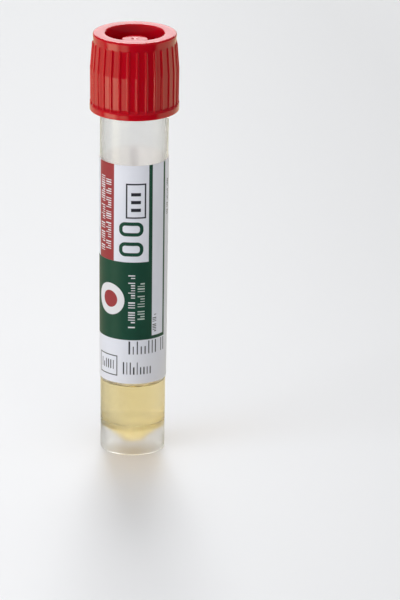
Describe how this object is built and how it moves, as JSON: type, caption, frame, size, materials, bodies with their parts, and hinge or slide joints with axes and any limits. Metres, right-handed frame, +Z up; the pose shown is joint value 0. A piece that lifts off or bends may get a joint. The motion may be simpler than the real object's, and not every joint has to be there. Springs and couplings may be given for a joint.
{
  "type": "specimen swab tube",
  "caption": "Self-standing transport tube with a coned floor, a wrapped label, liquid medium and a ribbed screw cap.",
  "frame": {"origin": "centre of the foot, on the surface that the tube stands on", "axes": "+Z up along the tube's axis, towards the cap; -Y is the front of the label"},
  "size_m": [0.0208, 0.0208, 0.1012],
  "materials": {
    "tube": "translucent natural polypropylene, smooth",
    "cap": "moulded, satin gloss",
    "seal": "soft, matt",
    "label": "coated label paper, printed in green, red and dark grey",
    "medium": "clear pale yellow liquid"
  },
  "bodies": {
    "tube_body": {"tube": "tube", "label": "label", "medium": "medium"},
    "seal": {"seal": "seal"},
    "cap": {"cap": "cap"}
  },
  "joints": [
    {"name": "cap_lift", "type": "slide", "parent": "tube_body", "child": "seal", "axis": [0, 0, 1], "range_m": [0, 0.0181]},
    {"name": "cap_turn", "type": "hinge", "parent": "seal", "child": "cap", "pos_m": [0, 0, 0.0991], "axis": [0, 0, 1], "range_deg": [0, 2160]}
  ],
  "couplings": [
    {"joint": "cap_lift", "follows": "cap_turn", "m_per_rad": 0.00047746}
  ]
}
